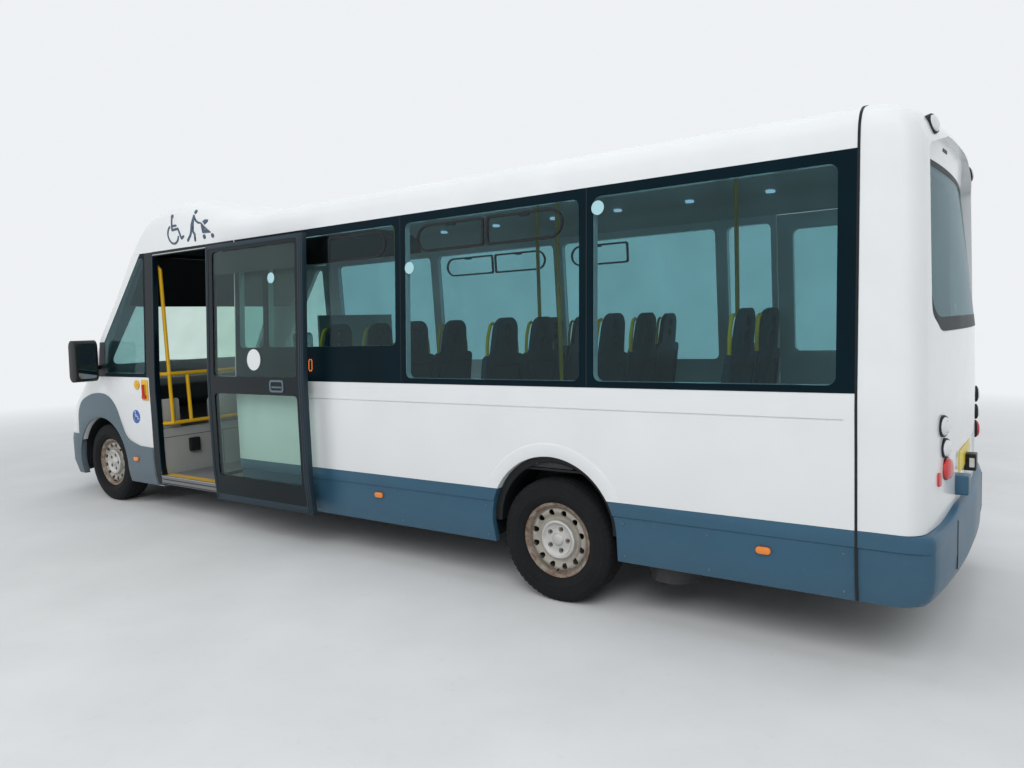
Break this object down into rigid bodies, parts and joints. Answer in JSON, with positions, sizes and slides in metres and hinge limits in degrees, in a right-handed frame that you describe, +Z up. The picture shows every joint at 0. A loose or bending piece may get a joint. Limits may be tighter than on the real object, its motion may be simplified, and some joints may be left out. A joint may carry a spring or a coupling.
{
  "type": "low-floor minibus",
  "caption": "Low-floor minibus on a van front, with a raised dome over the cab, a wide plug door slid open, bonded side windows and seats in rows.",
  "frame": {"origin": "on the ground, in the middle of the vehicle's length and width", "axes": "+X towards the rear, +Y to the vehicle's right, +Z up from the ground"},
  "size_m": [7.9021, 2.7, 2.6881],
  "materials": {
    "white_paint": "gloss",
    "skirt_paint": "satin",
    "grey_plastic": "matte",
    "dark_plastic": "matte",
    "tinted_glass": "gloss",
    "clear_glass": "gloss",
    "lamp_glass": "gloss",
    "lamp_red": "gloss",
    "lamp_amber": "gloss",
    "floor_vinyl": "matte",
    "frame_steel": "satin",
    "axle_iron": "matte",
    "engine_iron": "matte",
    "wheel_steel": "satin",
    "tyre_rubber": "matte",
    "seat_fabric": "woven",
    "rail_yellow": "gloss"
  },
  "bodies": {
    "body": {"side_left": "white_paint", "side_right": "white_paint", "windscreen": "clear_glass", "cab_shell": "white_paint", "headlamps": "lamp_glass", "grille": "dark_plastic", "front_bumper": "grey_plastic", "skirts": "skirt_paint", "roof": "white_paint", "rear_shell": "white_paint", "rear_bumper": "skirt_paint", "side_glass": "tinted_glass", "rear_glass": "tinted_glass", "rear_lamps": "lamp_red", "marker_lamps": "lamp_amber", "wheel_houses": "dark_plastic", "floor": "floor_vinyl", "underframe": "frame_steel", "front_suspension": "frame_steel", "engine": "engine_iron", "rear_axle": "frame_steel", "door_leaf": "white_paint", "door_glass": "clear_glass", "door_gear": "frame_steel", "dashboard": "dark_plastic", "driver_seat": "seat_fabric", "seats": "seat_fabric", "seat_frames": "frame_steel", "handrails": "rail_yellow", "partitions": "grey_plastic", "mirror_left": "dark_plastic"},
    "knuckle_left": {"knuckle_left": "axle_iron"},
    "knuckle_right": {"knuckle_right": "axle_iron"},
    "steering_wheel": {"steering_wheel": "dark_plastic"},
    "driver_door": {"driver_door": "white_paint", "driver_door_glass": "clear_glass", "mirror_right": "dark_plastic"},
    "emergency_door": {"emergency_door": "white_paint", "emergency_door_glass": "tinted_glass"},
    "bonnet": {"bonnet": "white_paint"},
    "wheel_front_left": {"rim_front_left": "wheel_steel", "tyre_front_left": "tyre_rubber"},
    "wheel_front_right": {"rim_front_right": "wheel_steel", "tyre_front_right": "tyre_rubber"},
    "wheel_rear_left": {"rim_rear_left": "wheel_steel", "tyre_rear_left": "tyre_rubber"},
    "wheel_rear_right": {"rim_rear_right": "wheel_steel", "tyre_rear_right": "tyre_rubber"}
  },
  "joints": [
    {"name": "steer_left", "type": "hinge", "parent": "body", "child": "knuckle_left", "pos_m": [-2.998, -0.88, 0.24002], "axis": [-0.0162, 0.2419, 0.9702], "range_deg": [-38, 38]},
    {"name": "wheel_front_left_spin", "type": "hinge", "parent": "knuckle_left", "child": "wheel_front_left", "pos_m": [-3, -0.94, 0.36], "axis": [0, 1, 0], "continuous": true},
    {"name": "wheel_rear_left_spin", "type": "hinge", "parent": "body", "child": "wheel_rear_left", "pos_m": [1.93, -0.94, 0.36], "axis": [0, 1, 0], "continuous": true},
    {"name": "steer_right", "type": "hinge", "parent": "body", "child": "knuckle_right", "pos_m": [-2.998, 0.88, 0.24002], "axis": [-0.0162, -0.2419, 0.9702], "range_deg": [-38, 38]},
    {"name": "wheel_front_right_spin", "type": "hinge", "parent": "knuckle_right", "child": "wheel_front_right", "pos_m": [-3, 0.94, 0.36], "axis": [0, 1, 0], "continuous": true},
    {"name": "wheel_rear_right_spin", "type": "hinge", "parent": "body", "child": "wheel_rear_right", "pos_m": [1.93, 0.94, 0.36], "axis": [0, 1, 0], "continuous": true},
    {"name": "steering_wheel_turn", "type": "hinge", "parent": "body", "child": "steering_wheel", "pos_m": [-2.32327, 0.48, 1.11907], "axis": [0.6952, 0, 0.7188], "range_deg": [-540, 540]},
    {"name": "driver_door_hinge", "type": "hinge", "parent": "body", "child": "driver_door", "pos_m": [-3.01275, 1.089, 0.90252], "axis": [-0.0167, 0, 0.9999], "range_deg": [0, 70]},
    {"name": "emergency_door_hinge", "type": "hinge", "parent": "body", "child": "emergency_door", "pos_m": [2.59297, 1.089, 0.96616], "axis": [-0.0167, 0, 0.9999], "range_deg": [0, 95]},
    {"name": "bonnet_hinge", "type": "hinge", "parent": "body", "child": "bonnet", "pos_m": [-3.5414, 0, 1.17673], "axis": [0, 1, 0], "range_deg": [0, 55]}
  ],
  "couplings": [
    {"joint": "steer_right", "follows": "steer_left", "ratio": 1},
    {"joint": "steering_wheel_turn", "follows": "steer_left", "ratio": 14.2}
  ]
}
